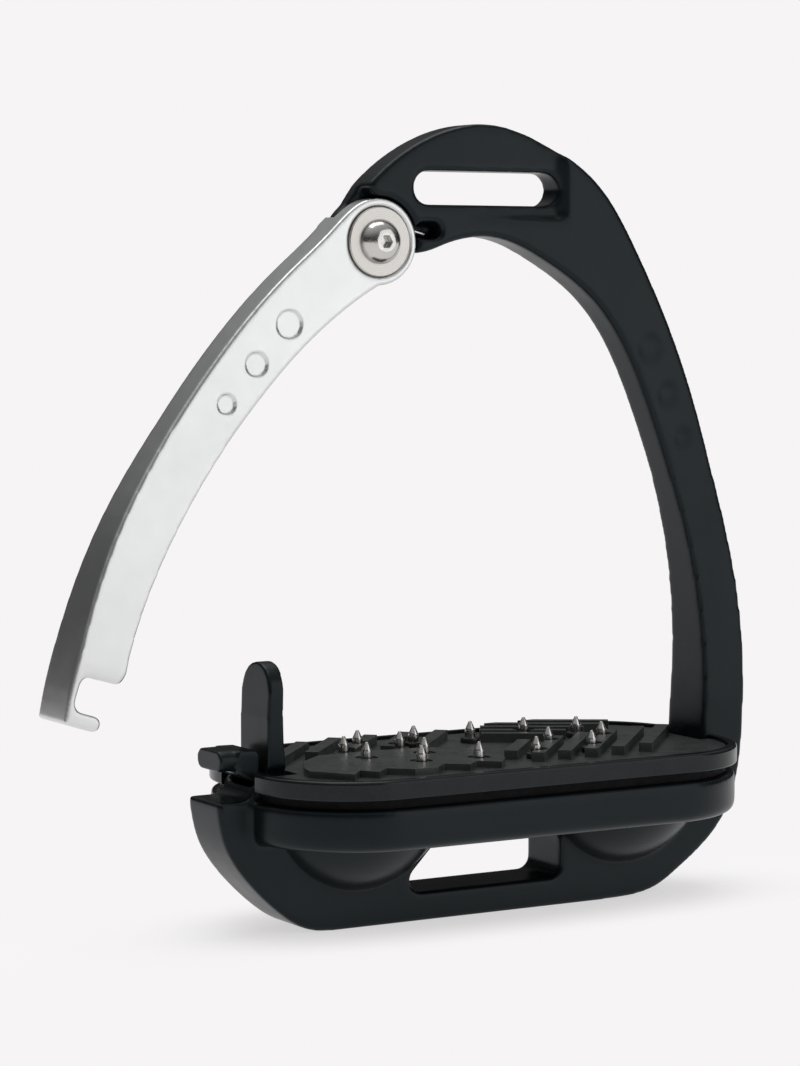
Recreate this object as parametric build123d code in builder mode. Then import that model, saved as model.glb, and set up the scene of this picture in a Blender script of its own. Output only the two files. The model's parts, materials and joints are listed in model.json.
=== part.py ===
from build123d import *
import os
from math import cos, pi, radians, sin

os.makedirs("parts", exist_ok=True)

# A safety stirrup iron. The ring lies in the XZ plane, the tread runs along X,
# the rider's boot enters along Y and +Z is up. The origin is on the flat base,
# below the middle of the ring. Everything is drawn with the outer arm sprung
# open, as it stands when nothing holds it shut. Sizes are millimetres.

# ---------------------------------------------------------------- driving dimensions
RING_HEIGHT = 167.0
HALF_DEPTH_TOP = 4.15           # half the depth (Y) of ring and arm, from the arch to WAIST_Z
EYE_THIN_Y = 2.8                # front face of the eye where it leans back furthest
RING_HALF_DEPTH_BASE = 7.0      # half the depth of the ring from FLARE_Z down
ARM_HALF_DEPTH_BASE = 6.5       # half the depth of the arm from FLARE_Z down
WAIST_Z = 92.0
FLARE_Z = 42.0

SLOT_LENGTH = 36.4              # stirrup-leather slot
SLOT_HEIGHT = 7.0
SLOT_X = 0.3
SLOT_Z = 153.5

HINGE_X = -26.5
HINGE_Z = 142.2
LUG_RADIUS = 9.2                # rear half of the hinge, on the frame
RECESS_RADIUS = 9.4             # front half of the hinge, cut in the frame for the arm
KNUCKLE_RADIUS = 9.0
KNUCKLE_BACK_Y = 0.3            # back face of the arm's knuckle
LUG_FRONT_Y = 0.8               # front face of the frame's lug
ARM_OPEN_ANGLE = 18.0           # from shut to the sprung-open rest position
ARM_TRAVEL_OUT = 10.0           # from rest to the outer stop

BUSH_RADIUS = 3.5
RUNNING_CLEARANCE = 0.04        # radial, arm on bush and lever on pin
SCREW_RADIUS = 2.5
HINGE_AXIS = Axis((HINGE_X, 0, HINGE_Z), (0, 1, 0))
HEAD_RADIUS = 4.6
HEAD_HEIGHT = 2.7
HINGE_SOCKET_RADIUS = 1.2
WASHER_RADIUS = 7.2
WASHER_THICKNESS = 1.0
WASHER_FRONT_Y = -4.35
NUT_RADIUS = 4.4
NUT_SEAT_Y = 2.6                # floor of the nut's counterbore in the lug
NUT_HEIGHT = 2.4

SPRING_WIRE_RADIUS = 0.5
SPRING_COIL_RADIUS = 4.7
SPRING_PITCH = 1.05
SPRING_LEG = 12.0
SPRING_LEG_ANGLE = 76.0         # where the leg leaves the coil
SPRING_START_Y = -0.6
CAVITY_RADIUS = 5.5             # spring cavity in the knuckle
CAVITY_FLOOR_Y = -2.3

LEG_RELIEF = (-10.0, 81.0)      # sector of the knuckle cut away for the spring's leg

STOP_PIN_RADIUS = 0.8
STOP_PIN_ORBIT = 7.5
STOP_PIN_ANGLE = 250.0

CRADLE_LENGTH = 116.6
CRADLE_WIDTH = 59.6
CRADLE_CORNER = 24.5
CRADLE_BOTTOM_Z = 19.4
CRADLE_TOP_Z = 28.2
BOWL_X = 33.0                   # the two bowls that carry the cradle on the ring
BOWL_Z = 29.5
BOWL_RADIUS = 22.5

TREAD_LENGTH = 115.6
TREAD_WIDTH = 59.0
TREAD_CORNER = 22.0
GASKET_THICKNESS = 2.0
GASKET_INSET = 2.0
TREAD_BOTTOM_Z = CRADLE_TOP_Z + GASKET_THICKNESS
TREAD_TOP_Z = 34.2
TRAY_FLOOR = 2.0
TRAY_WALL = 2.0
GRIP_GAP = 0.3                  # between the grip plate and the tray's wall
GRIP_BASE_Z = 33.5
GRIP_ISLAND_Z = 35.0
GRIP_BAR_Z = 35.6
GRIP_MARGIN = 3.6               # from the tread's edge to the raised pattern

TOWER_LEFT_X = -57.6            # lever tower at the outer end of the cradle
TOWER_RIGHT_X = -48.2
TOWER_TOP_Z = 32.6
TOWER_CLEARANCE = 0.3
SCOOP_FLOOR_Z = 28.6
SCOOP_RADIUS = 2.9
LEVER_X = -51.6                 # pivot of the release lever
LEVER_Z = 30.0
LEVER_HUB_RADIUS = 2.4
LEVER_HALF_WIDTH = 5.3
LEVER_SLOT_HALF_WIDTH = 5.6
PADDLE_HALF_WIDTH = 6.2
PADDLE_TOP_Z = 56.2
FINGER_TIP_X = -64.5            # round-ended finger that goes into the arm's notch
FINGER_Z = 36.7
FINGER_HEIGHT = 4.3
LEVER_PIN_RADIUS = 1.25
LEVER_PIN_HALF_LENGTH = 6.9
HUB_GAP = 2.0                   # half the gap in the hub that holds the lever's spring

STUD_RADIUS = 1.15
STUD_TIP_RADIUS = 0.3
STUD_SHOULDER_Z = 36.3
STUD_TIP_Z = 38.2
COLLAR_RADIUS = 2.1
COLLAR_TOP_Z = 34.7
SOCKET_RADIUS = 2.4
TREAD_SCREW_RADIUS = 2.0
TREAD_SCREW_HEAD_RADIUS = 3.6
TREAD_SCREW_HEAD_HEIGHT = 2.6
TREAD_SCREW_SEAT_Z = 24.8
TREAD_SCREW_PLACES = [(-11.0, -20.0), (-11.0, 20.0), (11.0, -20.0), (11.0, 20.0)]

# ---------------------------------------------------------------- outlines, X and Z
ARCH_AND_LEG_OUTSIDE = [(-29.0, 153.8), (-18.1, 162.1), (-0.5, RING_HEIGHT), (15.4, 163.0),
                        (28.8, 154.2), (36.8, 143.1), (50.1, 117.0), (59.1, 90.4),
                        (64.9, 63.6), (65.7, 46.0)]
HEEL_OUTSIDE = [(65.7, 46.0), (64.9, 30.6), (59.7, 15.0), (47.2, 4.5), (28.5, 0.0)]
HORN_OUTSIDE = [(-39.8, 0.0), (-51.4, 4.6), (-61.6, 15.2), (-65.9, SCOOP_FLOOR_Z)]
LEG_INSIDE = [(53.6, CRADLE_TOP_Z), (54.8, 49.5), (51.6, 76.6), (42.7, 103.5), (27.0, 130.0),
              (14.4, 138.5), (-1.5, 143.4), (-11.2, 141.4), (-17.3, 139.8)]
WINDOW = [(-24.2, 6.2), (17.0, 6.2), (17.0, 16.4), (-14.2, 16.4)]
WINDOW_CORNER = 2.6

# the arm, as it lies when it is shut
ARM_OUTSIDE = [(-31.7, 149.6), (-37.9, 140.9), (-44.5, 130.0), (-52.2, 115.0), (-61.0, 91.0),
               (-65.8, 72.0), (-67.6, 55.0), (-67.6, 42.0), (-66.6, 29.2)]
ARM_JAW = [(-66.6, 29.2), (-58.9, 29.2), (-58.9, 32.3), (-65.6, 32.3), (-65.6, 39.5),
           (-57.2, 39.5), (-56.4, 42.0)]
ARM_JAW_RADII = [1.5, 1.5, 2.0, 2.0, 1.6]            # lip tip, notch and jaw corners
ARM_INSIDE = [(-56.4, 42.0), (-56.6, 50.0), (-54.4, 68.0), (-49.6, 86.0), (-42.2, 105.0),
              (-33.6, 121.0), (-24.6, 132.6), (-18.2, 138.7)]

DIMPLES = [(41.5, 119.6, 3.0), (46.2, 109.6, 2.55), (50.3, 99.9, 2.1)]   # X, Z, radius
DIMPLE_DEPTH = 0.35

LEVER_SLOT = [(-48.8, 26.2), (-56.6, 26.2), (-56.6, 31.4), (-60.0, 31.4), (-60.0, 40.0),
              (-48.8, 40.0)]
# the lever's root and web; the finger's round end and the paddle are added to it
LEVER_CORE = [(-54.0, 29.6), (-54.4, 31.2), (-57.0, 32.4), (-60.5, 34.0), (-60.5, 38.8),
              (-56.2, 38.7), (-55.5, 38.0), (-55.5, 33.3), (-54.0, 33.3), (-54.0, 36.0),
              (-49.9, 36.0), (-49.3, 29.6)]

# ---------------------------------------------------------------- tread pattern, X and Y
GRIP_ISLAND = [(-47.5, -9.5), (-48.6, -13.6), (-42.6, -22.0), (-39.2, -17.8), (-36.6, -21.6),
               (-32.9, -17.8), (-28.5, -22.0), (-23.0, -22.0), (-19.3, -18.2), (-15.2, -22.0),
               (-11.6, -18.4), (-7.6, -22.0), (-4.0, -17.6), (-1.6, -8.0), (-7.6, 0.4),
               (-10.2, 4.0), (-16.6, 4.0), (-22.0, 5.4), (-36.5, 4.6), (-43.0, -1.0)]
BAR_ANGLE = 48.0
BAR_WIDTH = 2.9
RIB_ANGLE = -31.0
RIB_WIDTH = 2.2
BACK_BARS = [(-38.6, 12.6, 22.0), (-29.6, 14.6, 22.0), (-20.6, 14.6, 22.0), (-11.4, 14.4, 22.0),
             (-3.0, 13.8, 21.0)]                      # centre X, centre Y, length
FRONT_BARS = [(6.0, -6.6, 17.0), (12.4, -8.6, 26.0), (19.6, -8.0, 28.0), (26.8, -7.6, 30.0),
              (34.2, -7.0, 32.0), (41.4, -6.6, 30.0)]
BACK_RIBS = [(15.6, 9.4, 15.0), (19.8, 13.0, 19.0), (24.4, 16.4, 23.0), (29.2, 19.6, 26.0),
             (33.6, 23.0, 26.0)]

STUD_PLACES = [(-21.6, 14.0), (-7.6, 14.0), (6.8, 14.0), (20.4, 13.6),
               (-28.7, 7.4), (-14.6, 8.0), (31.2, 9.0),
               (-29.0, -2.9), (-14.8, -2.6), (16.7, -2.1), (31.5, -0.6),
               (-21.4, -12.5), (-8.3, -14.0), (6.4, -13.3), (21.6, -11.6)]


# ---------------------------------------------------------------- work planes and helpers
def front_plane(x, z, y=0.0, turn=0.0):
    """Seen from the front: local x to the right, local y up, normal towards -Y."""
    c, s = cos(radians(turn)), sin(radians(turn))
    return Plane(origin=(x, y, z), x_dir=(c, 0, s), z_dir=(0, -1, 0))


def side_plane(x, z, turn=0.0):
    """Across the ring: local x along +Y, local y up, normal towards +X, turned about Y."""
    c, s = cos(radians(turn)), sin(radians(turn))
    return Plane(origin=(x, 0, z), x_dir=(0, 1, 0), z_dir=(c, 0, s))


def at_hinge(y, turn=0.0):
    return front_plane(HINGE_X, HINGE_Z, y, turn)


def from_hinge(points):
    return [(x - HINGE_X, z - HINGE_Z) for x, z in points]


def depth_profile(base_half_depth, below):
    """Outline seen from the side: slim above the waist, deeper at the base.

    below is the height of the work plane's origin."""
    high, low = RING_HEIGHT + 20.0 - below, -20.0 - below
    right = [(base_half_depth, low), (base_half_depth, FLARE_Z - below),
             (HALF_DEPTH_TOP, WAIST_Z - below), (HALF_DEPTH_TOP, high)]
    left = [(-x, y) for x, y in reversed(right)]
    return right + left


def orbit(angle, radius):
    """Point at an angle round the hinge, in hinge-centred X and Z."""
    return radius * cos(radians(angle)), radius * sin(radians(angle))


def tread_ends(width_clearance, length_clearance):
    """Cut-outs of the tread's layers, round the lever tower and the ring's leg."""
    half = RING_HALF_DEPTH_BASE + width_clearance
    left = TOWER_RIGHT_X + length_clearance
    right = LEG_INSIDE[0][0] - length_clearance
    return [(left - 10.0, 20.0, 2 * half), (right + 10.0, 20.0, 2 * half)]


# ================================================================ helpers of the frame
with BuildPart() as cradle:
    with BuildSketch(Plane.XY.offset(CRADLE_BOTTOM_Z)):
        RectangleRounded(CRADLE_LENGTH, CRADLE_WIDTH, CRADLE_CORNER)
    extrude(amount=CRADLE_TOP_Z - CRADLE_BOTTOM_Z)
    fillet(cradle.edges().group_by(Axis.Z)[0], 2.4)
    fillet(cradle.edges().group_by(Axis.Z)[-1], 0.5)

with BuildPart() as bowls:
    with Locations((-BOWL_X, 0, BOWL_Z), (BOWL_X, 0, BOWL_Z)):
        Sphere(BOWL_RADIUS)
    split(bisect_by=Plane.XY.offset(CRADLE_BOTTOM_Z + 1.0), keep=Keep.BOTTOM)

# ================================================================ frame
with BuildPart() as frame:
    with BuildSketch(front_plane(0, 0)):
        with BuildLine():
            arch = Spline(*ARCH_AND_LEG_OUTSIDE)
            heel = Spline(*HEEL_OUTSIDE, tangents=[arch % 1, (-1, 0)])
            Line(heel @ 1, HORN_OUTSIDE[0])
            horn = Spline(*HORN_OUTSIDE, tangents=[(-1, 0), (-0.1, 1)])
            land = Line(horn @ 1, (TOWER_LEFT_X - SCOOP_RADIUS, SCOOP_FLOOR_Z))
            scoop = CenterArc((TOWER_LEFT_X - SCOOP_RADIUS, SCOOP_FLOOR_Z + SCOOP_RADIUS),
                              SCOOP_RADIUS, 270, 90)
            tower = Polyline(scoop @ 1, (TOWER_LEFT_X, TOWER_TOP_Z - 0.8),
                             (TOWER_LEFT_X + 0.8, TOWER_TOP_Z), (TOWER_RIGHT_X, TOWER_TOP_Z),
                             (TOWER_RIGHT_X, CRADLE_TOP_Z), LEG_INSIDE[0])
            leg = Spline(*LEG_INSIDE, tangents=[(0.1, 1), (-0.8, -0.1)])
            Line(leg @ 1, arch @ 0)
        make_face()
        with Locations((HINGE_X, HINGE_Z)):
            Circle(LUG_RADIUS)
    extrude(amount=RING_HALF_DEPTH_BASE, both=True)
    with BuildSketch(side_plane(0, 0)):
        with BuildLine():
            Polyline(*depth_profile(RING_HALF_DEPTH_BASE, 0.0), close=True)
        make_face()
    extrude(amount=90, both=True, mode=Mode.INTERSECT)

    # the lug runs on behind the arm from the end of the arch
    with BuildSketch(front_plane(0, 0, y=LUG_FRONT_Y)):
        with BuildLine():
            Polyline(ARCH_AND_LEG_OUTSIDE[0], (-31.4, 150.4), (HINGE_X, HINGE_Z),
                     (HINGE_X + 5, HINGE_Z + 7), close=True)
        make_face()
    extrude(amount=LUG_FRONT_Y - HALF_DEPTH_TOP)

    add(cradle.part)
    add(bowls.part)

    with BuildSketch(front_plane(0, 0)) as window:
        with BuildLine():
            Polyline(*WINDOW, close=True)
        make_face()
        fillet(window.vertices(), WINDOW_CORNER)
    extrude(amount=CRADLE_WIDTH / 2, both=True, mode=Mode.SUBTRACT)

    with BuildSketch(front_plane(SLOT_X, SLOT_Z)):
        SlotOverall(SLOT_LENGTH, SLOT_HEIGHT)
    extrude(amount=10, both=True, mode=Mode.SUBTRACT)

    # the eye's front face leans back towards the leg
    with BuildSketch(Plane.XY.offset(147.4)):
        with BuildLine():
            lean = Line((-6.0, -HALF_DEPTH_TOP), (15.0, -EYE_THIN_Y))
            step = ThreePointArc(lean @ 1, (18.9, -EYE_THIN_Y - 0.45),
                                 (20.4, -HALF_DEPTH_TOP - 0.2))
            Polyline(step @ 1, (20.4, -HALF_DEPTH_TOP - 1.0), (-6.0, -HALF_DEPTH_TOP - 1.0),
                     lean @ 0)
        make_face()
    extrude(amount=25, mode=Mode.SUBTRACT)

    # front half of the hinge, nut seat, bush bore and stop-pin hole
    with BuildSketch(at_hinge(LUG_FRONT_Y)):
        Circle(RECESS_RADIUS)
    extrude(amount=10, mode=Mode.SUBTRACT)
    with BuildSketch(at_hinge(NUT_SEAT_Y)):
        Circle(NUT_RADIUS + 0.15)
    extrude(amount=-10, mode=Mode.SUBTRACT)
    with BuildSketch(at_hinge(0)):
        Circle(BUSH_RADIUS + 0.02)
    extrude(amount=10, both=True, mode=Mode.SUBTRACT)
    with BuildSketch(at_hinge(LUG_FRONT_Y)):
        with PolarLocations(STOP_PIN_ORBIT, 1, STOP_PIN_ANGLE):
            Circle(STOP_PIN_RADIUS)
    extrude(amount=-2.2, mode=Mode.SUBTRACT)

    # slot that anchors the spring's leg
    with BuildSketch(front_plane(-14.5, 144.6, y=1.0)):
        SlotOverall(6.2, 3.4)
    extrude(amount=10, mode=Mode.SUBTRACT)

    # lever slot in the tower, open to the left above its sill, and the pin's hole
    with BuildSketch(front_plane(0, 0)):
        with BuildLine():
            Polyline(*LEVER_SLOT, close=True)
        make_face()
    extrude(amount=LEVER_SLOT_HALF_WIDTH, both=True, mode=Mode.SUBTRACT)
    with BuildSketch(front_plane(LEVER_X, LEVER_Z)):
        Circle(LEVER_PIN_RADIUS)
    extrude(amount=10, both=True, mode=Mode.SUBTRACT)

    # tread screws come up from below
    with Locations(*[(x, y, CRADLE_BOTTOM_Z) for x, y in TREAD_SCREW_PLACES]):
        Cylinder(TREAD_SCREW_HEAD_RADIUS + 0.2, TREAD_SCREW_SEAT_Z - CRADLE_BOTTOM_Z,
                 align=(Align.CENTER, Align.CENTER, Align.MIN), mode=Mode.SUBTRACT)
        Cylinder(TREAD_SCREW_RADIUS + 0.15, 12, align=(Align.CENTER, Align.CENTER, Align.MIN),
                 mode=Mode.SUBTRACT)

    # three shallow dimples, each smaller than the one above it
    for x, z, radius in DIMPLES:
        with BuildSketch(front_plane(x, z, y=-HALF_DEPTH_TOP)):
            Circle(radius)
        extrude(amount=-DIMPLE_DEPTH, mode=Mode.SUBTRACT)

# ================================================================ release arm
with BuildPart() as release_arm:
    with BuildSketch(at_hinge(0, -ARM_OPEN_ANGLE)) as arm_face:
        with BuildLine():
            outside = Spline(*from_hinge(ARM_OUTSIDE), tangents=[(-0.82, -0.57), (0.15, -1)])
            Polyline(*from_hinge(ARM_JAW))
            inside = Spline(*from_hinge(ARM_INSIDE), tangents=[(-0.1, 1), (0.8, 0.75)])
            Line(inside @ 1, outside @ 0)
        make_face()
        for corner, radius in zip(ARM_JAW[1:-1], ARM_JAW_RADII):
            place = Vector(*from_hinge([corner])[0])
            fillet(arm_face.vertices().sort_by(lambda v: (Vector(v) - place).length)[0], radius)
        Circle(KNUCKLE_RADIUS)
    extrude(amount=RING_HALF_DEPTH_BASE, both=True)
    with BuildSketch(side_plane(HINGE_X, HINGE_Z, -ARM_OPEN_ANGLE)):
        with BuildLine():
            Polyline(*depth_profile(ARM_HALF_DEPTH_BASE, HINGE_Z), close=True)
        make_face()
    extrude(amount=120, both=True, mode=Mode.INTERSECT)

    # the knuckle is half as deep as the arm, to lap over the frame's lug
    with BuildSketch(at_hinge(KNUCKLE_BACK_Y)):
        Circle(RECESS_RADIUS + 0.2)
    extrude(amount=-10, mode=Mode.SUBTRACT)
    with BuildSketch(at_hinge(0)):
        Circle(BUSH_RADIUS + RUNNING_CLEARANCE)
    extrude(amount=10, both=True, mode=Mode.SUBTRACT)
    with BuildSketch(at_hinge(WASHER_FRONT_Y + WASHER_THICKNESS + 0.05)):
        Circle(WASHER_RADIUS + 0.15)
    extrude(amount=10, mode=Mode.SUBTRACT)
    with BuildSketch(at_hinge(KNUCKLE_BACK_Y)):
        Circle(CAVITY_RADIUS)
        with BuildLine():
            Polyline((0, 0), orbit(LEG_RELIEF[0], 14), orbit(LEG_RELIEF[1], 14), close=True)
        make_face()
    extrude(amount=KNUCKLE_BACK_Y - CAVITY_FLOOR_Y, mode=Mode.SUBTRACT)
    with BuildSketch(at_hinge(KNUCKLE_BACK_Y)):
        with BuildLine(mode=Mode.PRIVATE):
            stop_arc = CenterArc((0, 0), STOP_PIN_ORBIT, STOP_PIN_ANGLE - ARM_OPEN_ANGLE,
                                 ARM_OPEN_ANGLE + ARM_TRAVEL_OUT)
        SlotArc(stop_arc, 2 * STOP_PIN_RADIUS + 0.4)
    extrude(amount=1.9, mode=Mode.SUBTRACT)

    for x, z, radius in DIMPLES:
        with BuildSketch(at_hinge(-HALF_DEPTH_TOP, -ARM_OPEN_ANGLE)):
            with Locations(from_hinge([(-x, z)])[0]):
                Circle(radius)
        extrude(amount=-DIMPLE_DEPTH, mode=Mode.SUBTRACT)

# ================================================================ hinge hardware
BUSH_FRONT_Y = WASHER_FRONT_Y + WASHER_THICKNESS
NUT_BACK_Y = NUT_SEAT_Y + NUT_HEIGHT

with BuildPart() as hinge_bush:
    with BuildSketch(at_hinge(BUSH_FRONT_Y)):
        Circle(BUSH_RADIUS)
        Circle(SCREW_RADIUS + 0.02, mode=Mode.SUBTRACT)
    extrude(amount=BUSH_FRONT_Y - NUT_SEAT_Y)

with BuildPart() as hinge_washer:
    with BuildSketch(at_hinge(BUSH_FRONT_Y)):
        Circle(WASHER_RADIUS)
        Circle(SCREW_RADIUS + 0.1, mode=Mode.SUBTRACT)
    extrude(amount=WASHER_THICKNESS)
    chamfer(hinge_washer.edges().group_by(Axis.Y)[0].sort_by(SortBy.RADIUS)[-1], 0.15)

with BuildPart() as thrust_washer:
    with BuildSketch(at_hinge(LUG_FRONT_Y)):
        Circle(STOP_PIN_ORBIT - STOP_PIN_RADIUS - 0.3)
        Circle(BUSH_RADIUS + 0.05, mode=Mode.SUBTRACT)
    extrude(amount=LUG_FRONT_Y - KNUCKLE_BACK_Y - 0.05)

# button head with a hexagon socket
with BuildPart() as hinge_screw:
    with BuildSketch(Plane(origin=(HINGE_X, WASHER_FRONT_Y, HINGE_Z), x_dir=(1, 0, 0),
                           z_dir=(0, 0, 1))):
        with BuildLine():
            rim = Polyline((0, NUT_BACK_Y - WASHER_FRONT_Y - 0.4),
                           (SCREW_RADIUS - 0.3, NUT_BACK_Y - WASHER_FRONT_Y - 0.4),
                           (SCREW_RADIUS, NUT_BACK_Y - WASHER_FRONT_Y - 0.7),
                           (SCREW_RADIUS, 0), (HEAD_RADIUS, 0), (HEAD_RADIUS, -0.45))
            dome = ThreePointArc(rim @ 1, (0.8 * HEAD_RADIUS, -0.68 * HEAD_HEIGHT),
                                 (0.42 * HEAD_RADIUS, -HEAD_HEIGHT))
            Polyline(dome @ 1, (0, -HEAD_HEIGHT), rim @ 0)
        make_face()
    revolve(axis=HINGE_AXIS)
    with BuildSketch(at_hinge(WASHER_FRONT_Y - HEAD_HEIGHT)):
        RegularPolygon(HINGE_SOCKET_RADIUS, 6, major_radius=False)
    extrude(amount=-1.6, mode=Mode.SUBTRACT)

with BuildPart() as hinge_nut:
    with BuildSketch(at_hinge(NUT_BACK_Y)):
        Circle(NUT_RADIUS)
        Circle(SCREW_RADIUS, mode=Mode.SUBTRACT)
    extrude(amount=NUT_HEIGHT)
    chamfer(hinge_nut.edges().group_by(Axis.Y)[-1].sort_by(SortBy.RADIUS)[-1], 0.4)
    with BuildSketch(at_hinge(NUT_BACK_Y)):
        Rectangle(2 * NUT_RADIUS + 1, 1.2)
    extrude(amount=1.0, mode=Mode.SUBTRACT)

with BuildPart() as stop_pin:
    with BuildSketch(at_hinge(LUG_FRONT_Y + 2.2)):
        with PolarLocations(STOP_PIN_ORBIT, 1, STOP_PIN_ANGLE):
            Circle(STOP_PIN_RADIUS)
    extrude(amount=LUG_FRONT_Y + 2.2 + 1.4)

# torsion spring: one coil round the bush and a straight leg into the frame's slot
with BuildPart() as coil_blank:
    with BuildLine():
        coil = Helix(SPRING_PITCH, SPRING_PITCH, SPRING_COIL_RADIUS)
    with BuildSketch(Plane(origin=coil @ 0, z_dir=coil % 0)):
        Circle(SPRING_WIRE_RADIUS)
    sweep(path=coil, is_frenet=True)
    with BuildSketch(Plane(origin=coil @ 0, z_dir=coil % 0)):
        Circle(SPRING_WIRE_RADIUS)
    extrude(amount=-SPRING_LEG)

with BuildPart() as hinge_spring:
    with Locations(at_hinge(SPRING_START_Y, SPRING_LEG_ANGLE)):
        add(coil_blank.part)

# ================================================================ release lever
with BuildPart() as paddle:
    with BuildSketch(side_plane(-55.0, 0)):
        with BuildLine():
            Polyline((-PADDLE_HALF_WIDTH, PADDLE_TOP_Z - PADDLE_HALF_WIDTH),
                     (-PADDLE_HALF_WIDTH, 35.0), (-LEVER_HALF_WIDTH, 34.0),
                     (-LEVER_HALF_WIDTH, 33.3), (LEVER_HALF_WIDTH, 33.3),
                     (LEVER_HALF_WIDTH, 34.0), (PADDLE_HALF_WIDTH, 35.0),
                     (PADDLE_HALF_WIDTH, PADDLE_TOP_Z - PADDLE_HALF_WIDTH))
            ThreePointArc((PADDLE_HALF_WIDTH, PADDLE_TOP_Z - PADDLE_HALF_WIDTH),
                          (0, PADDLE_TOP_Z),
                          (-PADDLE_HALF_WIDTH, PADDLE_TOP_Z - PADDLE_HALF_WIDTH))
        make_face()
    extrude(amount=7)
    with BuildSketch(front_plane(0, 0)):
        with BuildLine():
            Polyline((-49.9, PADDLE_TOP_Z), (-53.4, PADDLE_TOP_Z), (-54.0, 45.0),
                     (-54.0, 33.3), (-49.6, 33.3))
            ThreePointArc((-49.6, 33.3), (-50.4, 45.0), (-49.9, PADDLE_TOP_Z))
        make_face()
    extrude(amount=10, both=True, mode=Mode.INTERSECT)

with BuildPart() as release_lever:
    with BuildSketch(front_plane(0, 0)):
        with BuildLine():
            Polyline(*LEVER_CORE, close=True)
        make_face()
        with Locations((LEVER_X, LEVER_Z)):
            Circle(LEVER_HUB_RADIUS)
    extrude(amount=LEVER_HALF_WIDTH, both=True)
    with BuildSketch(side_plane(FINGER_TIP_X, 0)):
        with Locations((0, FINGER_Z)):
            SlotOverall(2 * LEVER_HALF_WIDTH, FINGER_HEIGHT)
    extrude(amount=6)
    add(paddle.part)
    with Locations((LEVER_X, 0, LEVER_Z)):
        Box(2 * LEVER_HUB_RADIUS + 4, 2 * HUB_GAP, 2 * LEVER_HUB_RADIUS + 0.4,
            mode=Mode.SUBTRACT)
    with BuildSketch(front_plane(LEVER_X, LEVER_Z)):
        Circle(LEVER_PIN_RADIUS + RUNNING_CLEARANCE)
    extrude(amount=10, both=True, mode=Mode.SUBTRACT)

with BuildPart() as lever_pin:
    with BuildSketch(front_plane(LEVER_X, LEVER_Z)):
        Circle(LEVER_PIN_RADIUS)
    extrude(amount=LEVER_PIN_HALF_LENGTH, both=True)
    chamfer(lever_pin.edges().filter_by(GeomType.CIRCLE), 0.2)

with BuildPart() as small_coil_blank:
    with BuildLine():
        small_coil = Helix(0.75, 2.25, LEVER_PIN_RADIUS + 0.4)
    with BuildSketch(Plane(origin=small_coil @ 0, z_dir=small_coil % 0)):
        Circle(0.3)
    sweep(path=small_coil, is_frenet=True)

with BuildPart() as lever_spring:
    with Locations(front_plane(LEVER_X, LEVER_Z, 1.2, 270.0)):
        add(small_coil_blank.part)

# ================================================================ tread
with BuildPart() as tread_gasket:
    with BuildSketch(Plane.XY.offset(CRADLE_TOP_Z)):
        RectangleRounded(CRADLE_LENGTH - 2 * GASKET_INSET, CRADLE_WIDTH - 2 * GASKET_INSET,
                         CRADLE_CORNER - GASKET_INSET)
        for x, length, width in tread_ends(0.3, TOWER_CLEARANCE):
            with Locations((x, 0)):
                Rectangle(length, width, mode=Mode.SUBTRACT)
        with Locations(*TREAD_SCREW_PLACES):
            Circle(TREAD_SCREW_RADIUS + 0.15, mode=Mode.SUBTRACT)
    extrude(amount=GASKET_THICKNESS)

with BuildPart() as tread_tray:
    with BuildSketch(Plane.XY.offset(TREAD_BOTTOM_Z)):
        RectangleRounded(TREAD_LENGTH, TREAD_WIDTH, TREAD_CORNER)
    extrude(amount=TREAD_TOP_Z - TREAD_BOTTOM_Z)
    fillet(tread_tray.edges().group_by(Axis.Z)[-1], 0.7)
    fillet(tread_tray.edges().group_by(Axis.Z)[0], 0.4)
    with BuildSketch(Plane.XY.offset(TREAD_BOTTOM_Z + TRAY_FLOOR)):
        RectangleRounded(TREAD_LENGTH - 2 * TRAY_WALL, TREAD_WIDTH - 2 * TRAY_WALL,
                         TREAD_CORNER - TRAY_WALL)
    extrude(amount=5, mode=Mode.SUBTRACT)
    with BuildSketch(Plane.XY.offset(TREAD_BOTTOM_Z)):
        for x, length, width in tread_ends(0.3, TOWER_CLEARANCE):
            with Locations((x, 0)):
                Rectangle(length, width)
        with Locations(*TREAD_SCREW_PLACES):
            Circle(TREAD_SCREW_RADIUS)
    extrude(amount=10, mode=Mode.SUBTRACT)

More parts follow.
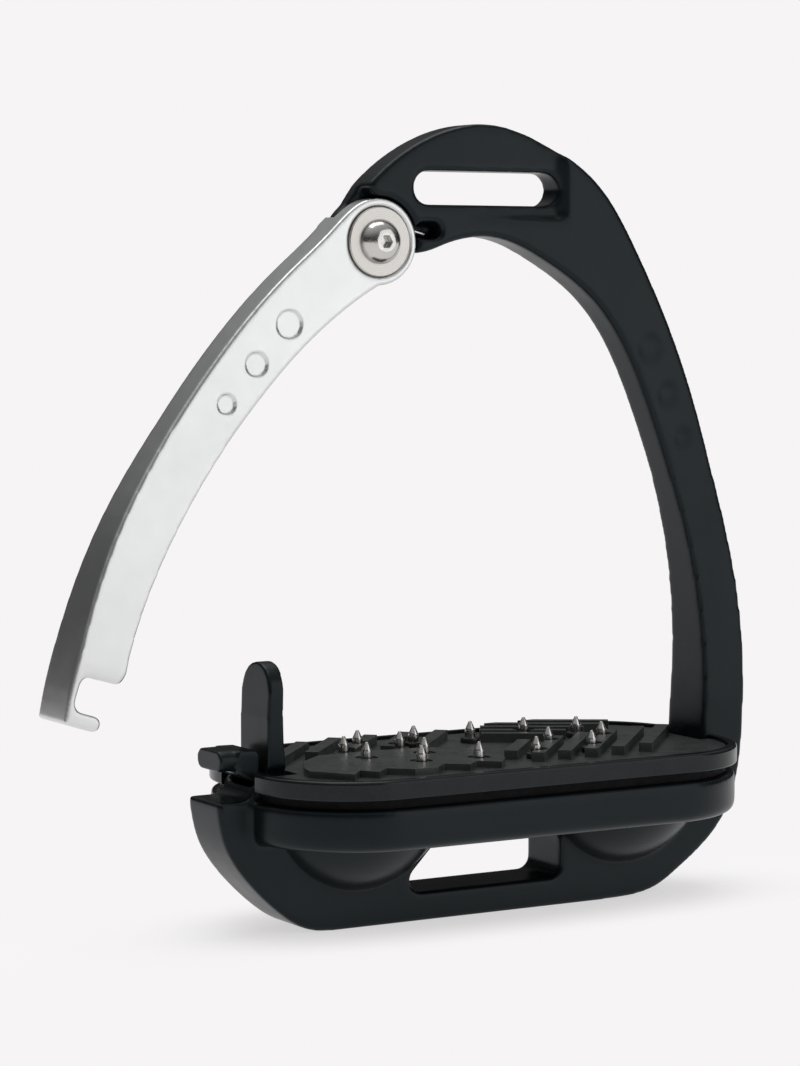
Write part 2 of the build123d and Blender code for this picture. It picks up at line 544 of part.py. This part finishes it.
GRIP_BOTTOM_Z = TREAD_BOTTOM_Z + TRAY_FLOOR
GRIP_INSET = TRAY_WALL + GRIP_GAP
with BuildPart() as grip_plate:
    with BuildSketch(Plane.XY.offset(GRIP_BOTTOM_Z)):
        RectangleRounded(TREAD_LENGTH - 2 * GRIP_INSET, TREAD_WIDTH - 2 * GRIP_INSET,
                         TREAD_CORNER - GRIP_INSET)
    extrude(amount=GRIP_BASE_Z - GRIP_BOTTOM_Z)
    with BuildSketch(Plane.XY.offset(GRIP_BASE_Z)):
        with BuildLine():
            Polyline(*GRIP_ISLAND, close=True)
        make_face()
    extrude(amount=GRIP_ISLAND_Z - GRIP_BASE_Z)
    with BuildSketch(Plane.XY.offset(GRIP_BASE_Z)):
        for x, y, length in BACK_BARS + FRONT_BARS:
            with Locations((x, y)):
                Rectangle(length, BAR_WIDTH, rotation=BAR_ANGLE)
        for x, y, length in BACK_RIBS:
            with Locations((x, y)):
                Rectangle(length, RIB_WIDTH, rotation=RIB_ANGLE)
        RectangleRounded(TREAD_LENGTH - 2 * GRIP_MARGIN, TREAD_WIDTH - 2 * GRIP_MARGIN,
                         TREAD_CORNER - GRIP_MARGIN, mode=Mode.INTERSECT)
    extrude(amount=GRIP_BAR_Z - GRIP_BASE_Z)
    with BuildSketch(Plane.XY.offset(GRIP_BASE_Z)):
        with Locations(*STUD_PLACES):
            Circle(SOCKET_RADIUS)
    extrude(amount=5, mode=Mode.SUBTRACT)
    with BuildSketch(Plane.XY.offset(GRIP_BOTTOM_Z)):
        for x, length, width in tread_ends(0.6, TOWER_CLEARANCE + 0.3):
            with Locations((x, 0)):
                Rectangle(length, width)
        with Locations(*STUD_PLACES):
            Circle(STUD_RADIUS)
    extrude(amount=10, mode=Mode.SUBTRACT)

with BuildPart() as tread_studs:
    for x, y in STUD_PLACES:
        with Locations((x, y, GRIP_BOTTOM_Z)):
            Cylinder(STUD_RADIUS, STUD_SHOULDER_Z - GRIP_BOTTOM_Z,
                     align=(Align.CENTER, Align.CENTER, Align.MIN))
        with Locations((x, y, STUD_SHOULDER_Z)):
            Cone(STUD_RADIUS, STUD_TIP_RADIUS, STUD_TIP_Z - STUD_SHOULDER_Z,
                 align=(Align.CENTER, Align.CENTER, Align.MIN))

with BuildPart() as stud_collars:
    with BuildSketch(Plane.XY.offset(GRIP_BASE_Z)):
        with Locations(*STUD_PLACES):
            Circle(COLLAR_RADIUS)
            Circle(STUD_RADIUS, mode=Mode.SUBTRACT)
    extrude(amount=COLLAR_TOP_Z - GRIP_BASE_Z)

with BuildPart() as tread_screws:
    for x, y in TREAD_SCREW_PLACES:
        with Locations((x, y, TREAD_SCREW_SEAT_Z)):
            Cylinder(TREAD_SCREW_HEAD_RADIUS, TREAD_SCREW_HEAD_HEIGHT,
                     align=(Align.CENTER, Align.CENTER, Align.MAX))
            Cylinder(TREAD_SCREW_RADIUS, GRIP_BOTTOM_Z - TREAD_SCREW_SEAT_Z,
                     align=(Align.CENTER, Align.CENTER, Align.MIN))
    with BuildSketch(Plane.XY.offset(TREAD_SCREW_SEAT_Z - TREAD_SCREW_HEAD_HEIGHT)):
        with Locations(*TREAD_SCREW_PLACES):
            RegularPolygon(1.5, 6, major_radius=False)
    extrude(amount=1.4, mode=Mode.SUBTRACT)

# ================================================================ files
NODES = {"frame": frame, "release_arm": release_arm, "hinge_bush": hinge_bush,
         "hinge_washer": hinge_washer, "thrust_washer": thrust_washer,
         "hinge_screw": hinge_screw, "hinge_nut": hinge_nut, "stop_pin": stop_pin,
         "hinge_spring": hinge_spring, "release_lever": release_lever, "lever_pin": lever_pin,
         "lever_spring": lever_spring, "tread_gasket": tread_gasket, "tread_tray": tread_tray,
         "grip_plate": grip_plate, "tread_studs": tread_studs, "stud_collars": stud_collars,
         "tread_screws": tread_screws}

for name, node in NODES.items():
    node.part.label = name
    export_step(node.part, f"parts/{name}.step")
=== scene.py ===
import json
from math import cos, radians, sin

import bmesh
import bpy
from mathutils import Matrix, Vector


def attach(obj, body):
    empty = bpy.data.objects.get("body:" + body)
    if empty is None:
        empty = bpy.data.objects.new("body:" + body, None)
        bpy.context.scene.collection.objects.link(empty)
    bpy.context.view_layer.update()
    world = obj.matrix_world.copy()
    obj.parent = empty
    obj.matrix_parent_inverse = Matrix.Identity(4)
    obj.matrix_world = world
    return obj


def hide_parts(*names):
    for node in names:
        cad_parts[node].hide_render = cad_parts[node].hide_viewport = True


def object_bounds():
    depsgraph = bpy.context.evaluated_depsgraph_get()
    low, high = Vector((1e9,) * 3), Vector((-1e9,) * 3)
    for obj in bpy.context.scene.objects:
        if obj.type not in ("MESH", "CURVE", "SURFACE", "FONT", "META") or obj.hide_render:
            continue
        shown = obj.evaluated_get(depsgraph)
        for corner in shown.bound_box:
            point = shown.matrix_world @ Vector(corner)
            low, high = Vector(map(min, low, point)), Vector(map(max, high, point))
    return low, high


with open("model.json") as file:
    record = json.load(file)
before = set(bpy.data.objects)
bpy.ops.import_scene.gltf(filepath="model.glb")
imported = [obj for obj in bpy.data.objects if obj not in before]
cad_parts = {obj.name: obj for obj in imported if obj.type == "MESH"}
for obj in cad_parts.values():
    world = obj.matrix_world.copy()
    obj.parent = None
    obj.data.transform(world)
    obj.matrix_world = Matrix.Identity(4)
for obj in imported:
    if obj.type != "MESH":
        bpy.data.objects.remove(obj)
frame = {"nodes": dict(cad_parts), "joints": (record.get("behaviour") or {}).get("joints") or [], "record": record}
cad_low, cad_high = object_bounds()
MM = 0.001
HINGE = next(Vector(joint["pos_m"]) for joint in frame["joints"] if joint["name"] == "arm_hinge")
BODY_OF = {node: body for body, nodes in frame["record"]["behaviour"]["bodies"].items()
           for node in nodes}

# ------------------------------------------------------------------ materials

MOTTLE_BAND = (0.35, 0.65)     # the part of a noise's range that a slow colour change uses
GRAIN_BAND = (0.3, 0.7)        # and the wider part that roughness and bright steel use


class Surface:
    """A principled material with a few node-building words of its own."""

    def __init__(self, name, colour, roughness, metallic=0.0, specular=0.5):
        self.material = bpy.data.materials.new(name)
        self.material.use_nodes = True
        self.tree = self.material.node_tree
        self.shader = self.tree.nodes["Principled BSDF"]
        self.shader.inputs["Base Color"].default_value = (*colour, 1)
        self.shader.inputs["Roughness"].default_value = roughness
        self.shader.inputs["Metallic"].default_value = metallic
        self.shader.inputs["Specular IOR Level"].default_value = specular
        coordinates = self.tree.nodes.new("ShaderNodeTexCoord")
        self.place = coordinates.outputs["Object"]
        self.bump_input = None

    def node(self, kind, **values):
        """A new node; each value goes to the input of that name, or else to the setting."""
        made = self.tree.nodes.new("ShaderNode" + kind)
        for key, value in values.items():
            if key in made.inputs:
                made.inputs[key].default_value = value
            else:
                setattr(made, key, value)
        return made

    def join(self, output, socket):
        self.tree.links.new(output, socket)

    def noise(self, size_mm, detail):
        """Noise whose lumps are about size_mm across."""
        made = self.node("TexNoise", Scale=1.0 / (size_mm * MM), Detail=detail)
        self.join(self.place, made.inputs["Vector"])
        return made.outputs["Fac"]

    def ramp(self, value, band, out_low, out_high):
        """The value's band, stretched or squeezed to run from out_low to out_high."""
        made = self.node("MapRange")
        for socket, number in zip(("From Min", "From Max", "To Min", "To Max"),
                                  (*band, out_low, out_high)):
            made.inputs[socket].default_value = number
        self.join(value, made.inputs["Value"])
        return made.outputs["Result"]

    def tint(self, value, dark, light):
        """Base colour that goes from dark to light as value goes from 0 to 1."""
        made = self.node("Mix", data_type="RGBA")
        made.inputs["A"].default_value = (*dark, 1)
        made.inputs["B"].default_value = (*light, 1)
        self.join(value, made.inputs["Factor"])
        self.join(made.outputs["Result"], self.shader.inputs["Base Color"])

    def mottle(self, size_mm, detail, dark, light, band=MOTTLE_BAND):
        """Base colour that drifts between dark and light over about size_mm."""
        self.tint(self.ramp(self.noise(size_mm, detail), band, 0, 1), dark, light)

    def rough(self, value, low, high, band=GRAIN_BAND):
        """Roughness that goes from low to high over the value's band."""
        self.join(self.ramp(value, band, low, high), self.shader.inputs["Roughness"])

    def bump(self, value, height_mm, strength):
        """Relief, added to any relief that is already there."""
        made = self.node("Bump", Strength=strength, Distance=height_mm * MM)
        self.join(value, made.inputs["Height"])
        if self.bump_input:
            self.join(self.bump_input, made.inputs["Normal"])
        self.bump_input = made.outputs["Normal"]
        self.join(self.bump_input, self.shader.inputs["Normal"])


def scaled(colour, factor):
    return tuple(factor * channel for channel in colour)


def black_anodised():
    """Bead-blasted aluminium, dyed black: a fine grain and slow changes of depth."""
    surface = Surface("black_anodised", (0.004, 0.006, 0.007), 0.32, specular=0.23)
    surface.mottle(18, 2, dark=(0.0034, 0.0052, 0.0062), light=(0.0048, 0.0068, 0.008))
    surface.shader.inputs["Specular Tint"].default_value = (0.82, 0.95, 1.0, 1)
    surface.rough(surface.noise(6, 3), 0.27, 0.33)
    surface.bump(surface.noise(0.22, 2), height_mm=0.012, strength=0.5)
    surface.bump(surface.noise(3.5, 2), height_mm=0.02, strength=0.25)
    return surface.material


def silver_anodised():
    """Clear anodised aluminium, satin, with a faint grain and cloudy roughness."""
    surface = Surface("silver_anodised", (0.69, 0.70, 0.70), 0.33, metallic=1.0)
    surface.mottle(12, 3, dark=(0.675, 0.685, 0.685), light=(0.70, 0.71, 0.71))
    surface.rough(surface.noise(4, 3), 0.31, 0.34)
    surface.bump(surface.noise(0.25, 2), height_mm=0.01, strength=0.5)
    return surface.material


def steel(name, roughness, colour=(0.6, 0.59, 0.57)):
    """Bright steel with a fine grain."""
    surface = Surface(name, colour, roughness, metallic=1.0)
    surface.rough(surface.noise(0.8, 3), roughness - 0.04, roughness + 0.05)
    surface.mottle(3, 2, dark=scaled(colour, 0.94), light=colour, band=GRAIN_BAND)
    surface.bump(surface.noise(0.15, 2), height_mm=0.004, strength=0.3)
    return surface.material


def turned_steel():
    """Steel with the fine rings that a lathe leaves round the hinge's axis."""
    surface = Surface("turned_steel", (0.62, 0.6, 0.57), 0.36, metallic=1.0)
    shift = surface.node("Mapping", Location=-HINGE)
    surface.join(surface.place, shift.inputs["Vector"])
    rings = surface.node("TexWave", wave_type="RINGS", rings_direction="Y", Scale=900.0,
                         Distortion=1.5, Detail=2.0)
    rings.inputs["Detail Scale"].default_value = 3.0
    surface.join(shift.outputs["Vector"], rings.inputs["Vector"])
    surface.tint(rings.outputs["Fac"], (0.5, 0.485, 0.46), (0.66, 0.64, 0.61))
    surface.rough(rings.outputs["Fac"], 0.28, 0.42, (0, 1))
    surface.bump(rings.outputs["Fac"], height_mm=0.01, strength=0.35)
    return surface.material


def bronze():
    """Sintered bushing bronze."""
    surface = Surface("bronze", (0.5, 0.33, 0.15), 0.35, metallic=1.0)
    surface.rough(surface.noise(0.8, 3), 0.3, 0.42)
    surface.bump(surface.noise(0.2, 2), height_mm=0.006, strength=0.4)
    return surface.material


def moulded_black(name, colour, roughness, grain_mm=0.35, specular=0.45):
    """Filled nylon or rubber with a fine spark-eroded skin."""
    surface = Surface(name, colour, roughness, specular=specular)
    surface.mottle(5, 3, dark=scaled(colour, 0.85), light=scaled(colour, 1.2))
    surface.rough(surface.noise(1.5, 3), roughness - 0.06, roughness + 0.06)
    surface.bump(surface.noise(grain_mm, 3), height_mm=0.03, strength=0.5)
    return surface.material


BLACK = black_anodised()
SILVER = silver_anodised()
STEEL = steel("stainless", roughness=0.2)
SPRING_STEEL = steel("spring_steel", roughness=0.24, colour=(0.66, 0.65, 0.63))
TURNED = turned_steel()
BRONZE = bronze()
# The grip plate is black moulded plastic; its base colour is made lighter grey to paint the light from above on
# the tread's top faces.
GRIP_WITH_PAINTED_TOP_LIGHT = moulded_black("grip_black", (0.048, 0.053, 0.052), roughness=0.33)
TRAY = moulded_black("tray_black", (0.0055, 0.0078, 0.009), roughness=0.22, grain_mm=0.25,
                     specular=0.27)
# The gasket is black rubber; its near-black colour, darker than every other part, also paints the shade in the
# recessed gap between the tread and the frame.
GASKET_WITH_GAP_SHADE = moulded_black("gasket_rubber", (0.003, 0.003, 0.003), roughness=0.7, specular=0.15)
WASHER_PLASTIC = moulded_black("washer_plastic", (0.02, 0.02, 0.02), roughness=0.45)
COLLAR = moulded_black("collar_black", (0.02, 0.02, 0.02), roughness=0.35, grain_mm=0.2)

# ------------------------------------------------------------------ CAD pieces with soft edges

WELD = 0.002              # points closer than this many mm are one point
FLAT = 0.5                # faces that turn less than this many degrees are joined
CREASE = 25.0             # edges sharper than this many degrees are rounded
FLAT_FACE_PULL = 60       # how strongly the big faces keep their own shading
SMOOTH_STEP = 0.5         # part of the way to its neighbours that a point moves in one pass
ARM_OPEN_ANGLE = 18.0     # the arm is drawn this far open
ARM_FRONT_Y = -4.15       # the plane, in mm, that the arm's dimples are near
# X, Z and radius of the leg's dimples in mm; the arm's are their mirror image when it's shut.
DIMPLES = [(41.5, 119.6, 3.0), (46.2, 109.6, 2.55), (50.3, 99.9, 2.1)]
DIMPLE_REACH = 1.25       # a dimple's edge is kept crisp out to this many radii
STOP_SLOT_BACK = 4.0      # mm from the hinge's middle back to the middle of the stop pin's slot
STOP_SLOT_REACH = 10.7    # mm round that middle that stay crisp


def link(data, name):
    obj = bpy.data.objects.new(name, data)
    bpy.context.scene.collection.objects.link(obj)
    return obj


def copied(node, join_flats=False):
    """A new piece with the CAD node's mesh, its doubled points merged and, if asked,
    the triangles of each flat face joined."""
    mesh = frame["nodes"][node].data.copy()
    work = bmesh.new()
    work.from_mesh(mesh)
    bmesh.ops.remove_doubles(work, verts=work.verts, dist=WELD * MM)
    if join_flats:
        bmesh.ops.dissolve_limit(work, angle_limit=radians(FLAT), verts=work.verts,
                                 edges=work.edges)
    work.to_mesh(mesh)
    work.free()
    return link(mesh, node + "_body")


def apply_modifiers(piece):
    """Keeps the mesh that the piece's modifiers make, and drops the modifiers."""
    piece.data = bpy.data.meshes.new_from_object(
        piece.evaluated_get(bpy.context.evaluated_depsgraph_get()))
    piece.modifiers.clear()


def stand_in(piece, node, material):
    """The piece rides on the node's body, wears the material and replaces the node."""
    piece.data.name = piece.name
    piece.data.materials.clear()
    piece.data.materials.append(material)
    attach(piece, BODY_OF[node])
    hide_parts(node)


def rounded(node, material, width_mm, segments=2):
    """A copy of a CAD node with a bevel on its sharp edges, up to width_mm wide and narrower
    where edges crowd."""
    piece = copied(node, join_flats=True)
    piece.data.polygons.foreach_set("use_smooth", [True] * len(piece.data.polygons))
    bevel = piece.modifiers.new("edges", "BEVEL")
    bevel.width = width_mm * MM
    bevel.segments = segments
    bevel.limit_method = "ANGLE"
    bevel.angle_limit = radians(CREASE)
    bevel.use_clamp_overlap = True
    flatten = piece.modifiers.new("flat_faces", "WEIGHTED_NORMAL")
    flatten.mode = "FACE_AREA"
    flatten.weight = FLAT_FACE_PULL
    apply_modifiers(piece)
    stand_in(piece, node, material)


def softened(node, material, voxel_mm, passes, crisp=()):
    """A copy of a CAD node whose edges are soft, as on a blasted casting.

    crisp lists places, as a centre and a radius in metres, where the shape isn't smoothed."""
    piece = copied(node)
    skin = piece.modifiers.new("skin", "REMESH")
    skin.mode = "VOXEL"
    skin.voxel_size = voxel_mm * MM
    skin.use_smooth_shade = True
    apply_modifiers(piece)
    soft = piece.vertex_groups.new(name="soft")
    free = [v.index for v in piece.data.vertices
            if all((v.co - middle).length > radius for middle, radius in crisp)]
    soft.add(free, 1.0, "REPLACE")
    ease = piece.modifiers.new("ease", "SMOOTH")
    ease.factor = SMOOTH_STEP
    ease.iterations = passes
    ease.vertex_group = soft.name
    apply_modifiers(piece)
    piece.vertex_groups.clear()
    stand_in(piece, node, material)


def crisp_on_arm():
    """The arm's dimples and the slot for its stop pin, as centres and radii in metres."""
    front = Vector((HINGE.x, ARM_FRONT_Y * MM, HINGE.z))
    swing = Matrix.Rotation(radians(ARM_OPEN_ANGLE), 3, "Y")
    places = [(front + swing @ Vector((-x * MM - HINGE.x, 0, z * MM - HINGE.z)),
               DIMPLE_REACH * radius * MM) for x, z, radius in DIMPLES]
    slot = HINGE + Vector((0, STOP_SLOT_BACK * MM, 0))
    return places + [(slot, STOP_SLOT_REACH * MM)]


softened("frame", BLACK, voxel_mm=0.42, passes=24)
softened("release_arm", SILVER, voxel_mm=0.22, passes=38, crisp=crisp_on_arm())
softened("release_lever", BLACK, voxel_mm=0.3, passes=8)
rounded("tread_tray", TRAY, width_mm=0.45, segments=3)
rounded("tread_gasket", GASKET_WITH_GAP_SHADE, width_mm=0.3, segments=3)
rounded("grip_plate", GRIP_WITH_PAINTED_TOP_LIGHT, width_mm=0.2)
rounded("stud_collars", COLLAR, width_mm=0.08, segments=1)
rounded("tread_studs", STEEL, width_mm=0.08)
rounded("tread_screws", STEEL, width_mm=0.15)
rounded("hinge_washer", TURNED, width_mm=0.2)
rounded("hinge_screw", STEEL, width_mm=0.15)
rounded("hinge_nut", STEEL, width_mm=0.15)

# The pieces inside the hinge and the tower keep their CAD mesh.
for name, material in {"hinge_bush": BRONZE, "thrust_washer": WASHER_PLASTIC,
                       "stop_pin": STEEL, "hinge_spring": SPRING_STEEL, "lever_pin": STEEL,
                       "lever_spring": SPRING_STEEL}.items():
    kept = frame["nodes"][name]
    kept.data.materials.clear()
    kept.data.materials.append(material)

# ------------------------------------------------------------------ floor, light, camera

VIEW_AZIMUTH = -30.5      # degrees round from the front, towards the arm's side
VIEW_DOWN = 4.4           # degrees that the camera looks down
VIEW_DISTANCE = 0.6885    # metres from the camera to what it aims at
LENS = 110.6              # mm, for the sensor below along the picture's long side
SENSOR = 36.0
NEAREST_SEEN = 0.05
AIM_RIGHT = -0.0020       # metres from the middle of the CAD box to what the camera aims at
AIM_UP = -0.0022

PAPER = (0.922, 0.905, 0.914)
FLOOR_RADIUS = 6.0
FLOOR_GREY = 0.5          # what the floor gives back of the light that falls on it
FLOOR_GLOW = 0.638        # what it gives by itself, so that shadows on it stay pale
FADE_FROM, FADE_TO = 0.04, 0.14    # metres from the object's middle, along X
FADE_SQUEEZE = 4          # the fade is this many times shorter along Y
LAMP_DISTANCE = 1.0

centre = (cad_low + cad_high) / 2


def direction(azimuth, elevation):
    """The unit vector out from the object; azimuth 0 is its front, 90 is the leg's side."""
    a, e = radians(azimuth), radians(elevation)
    return Vector((sin(a) * cos(e), -cos(a) * cos(e), sin(e)))


def add_camera():
    camera = link(bpy.data.cameras.new("camera"), "camera")
    camera.data.lens = LENS
    camera.data.sensor_width = SENSOR
    camera.data.clip_start = NEAREST_SEEN
    forward = -direction(VIEW_AZIMUTH, VIEW_DOWN)
    right = forward.cross(Vector((0, 0, 1))).normalized()
    upward = right.cross(forward)
    aim = centre + right * AIM_RIGHT + upward * AIM_UP
    camera.location = aim - forward * VIEW_DISTANCE
    camera.rotation_euler = forward.to_track_quat("-Z", "Y").to_euler()
    bpy.context.scene.camera = camera


def floor_material():
    """Pale paper that fades into the background's own brightness away from the object."""
    surface = Surface("floor_paper", (FLOOR_GREY,) * 3, 0.9, specular=0.0)
    surface.shader.inputs["Emission Color"].default_value = (*PAPER, 1)
    surface.shader.inputs["Emission Strength"].default_value = FLOOR_GLOW
    glow = surface.node("Emission", Color=(*PAPER, 1), Strength=1.0)
    squeezed = surface.node("Mapping", Scale=(1, FADE_SQUEEZE, 1))
    distance = surface.node("VectorMath", operation="LENGTH")
    fade = surface.node("MapRange", interpolation_type="SMOOTHSTEP")
    fade.inputs["From Min"].default_value = FADE_FROM
    fade.inputs["From Max"].default_value = FADE_TO
    mix = surface.node("MixShader")
    surface.join(surface.place, squeezed.inputs["Vector"])
    surface.join(squeezed.outputs["Vector"], distance.inputs[0])
    surface.join(distance.outputs["Value"], fade.inputs["Value"])
    surface.join(fade.outputs["Result"], mix.inputs["Fac"])
    surface.join(surface.shader.outputs["BSDF"], mix.inputs[1])
    surface.join(glow.outputs["Emission"], mix.inputs[2])
    surface.join(mix.outputs["Shader"],
                 surface.tree.nodes["Material Output"].inputs["Surface"])
    return surface.material


def add_floor():
    """A wide round sheet under the object."""
    mesh = bpy.data.meshes.new("floor")
    work = bmesh.new()
    bmesh.ops.create_circle(work, cap_ends=True, segments=96, radius=FLOOR_RADIUS)
    work.to_mesh(mesh)
    work.free()
    floor = link(mesh, "floor")
    floor.data.materials.append(floor_material())


def add_softbox(name, azimuth, elevation, width, height, watts):
    """A rectangular lamp that faces the object from this direction."""
    lamp = link(bpy.data.lights.new(name, "AREA"), name)
    lamp.data.shape = "RECTANGLE"
    lamp.data.size = width
    lamp.data.size_y = height
    lamp.data.energy = watts
    out = direction(azimuth, elevation)
    lamp.location = centre + out * LAMP_DISTANCE
    lamp.rotation_euler = (-out).to_track_quat("-Z", "Y").to_euler()
    lamp.visible_camera = False


def add_studio():
    """A bright backdrop to the eye, and a dim room with a pale ceiling to everything else."""
    world = bpy.data.worlds.new("studio")
    bpy.context.scene.world = world
    world.use_nodes = True
    tree = world.node_tree
    make = tree.nodes.new
    join = tree.links.new
    seen = tree.nodes["Background"]
    seen.inputs["Color"].default_value = (*PAPER, 1)
    room = make("ShaderNodeBackground")
    place = make("ShaderNodeTexCoord")
    split = make("ShaderNodeSeparateXYZ")
    height = make("ShaderNodeMapRange")
    height.interpolation_type = "SMOOTHSTEP"
    # The room's strength goes from floor to ceiling with the upward part of the direction.
    for socket, number in {"From Min": 0.15, "From Max": 0.9,
                           "To Min": 0.035, "To Max": 0.6}.items():
        height.inputs[socket].default_value = number
    path = make("ShaderNodeLightPath")
    mix = make("ShaderNodeMixShader")
    join(place.outputs["Generated"], split.inputs["Vector"])
    join(split.outputs["Z"], height.inputs["Value"])
    join(height.outputs["Result"], room.inputs["Strength"])
    join(path.outputs["Is Camera Ray"], mix.inputs["Fac"])
    join(room.outputs["Background"], mix.inputs[1])
    join(seen.outputs["Background"], mix.inputs[2])
    join(mix.outputs["Shader"], tree.nodes["World Output"].inputs["Surface"])


add_camera()
add_floor()
add_studio()
add_softbox("key", azimuth=32, elevation=12, width=0.8, height=0.9, watts=2.55)
add_softbox("top", azimuth=180, elevation=78, width=0.9, height=0.9, watts=5.0)
bpy.context.scene.view_settings.view_transform = "Standard"
